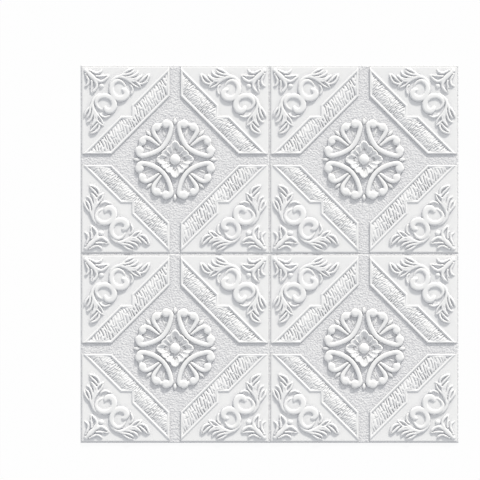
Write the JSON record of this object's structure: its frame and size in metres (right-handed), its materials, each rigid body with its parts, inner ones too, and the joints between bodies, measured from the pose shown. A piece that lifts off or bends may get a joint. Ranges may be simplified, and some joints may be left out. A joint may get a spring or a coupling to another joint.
{
  "type": "embossed foam wall panel",
  "caption": "Square foam wall panel, moulded in one piece with rosette tiles, framed corner plates and scrolls in relief on its face and a flat adhesive back.",
  "frame": {"origin": "middle of the flat back, which is the face that goes to the wall or lies on the floor", "axes": "+Z out of the back towards the embossed face, X and Y along the panel's two pairs of edges"},
  "size_m": [0.7, 0.7, 0.008],
  "materials": {
    "foam": "matt white closed-cell foam with an embossed skin"
  },
  "bodies": {
    "root": {"foam_panel": "foam"}
  },
  "joints": []
}
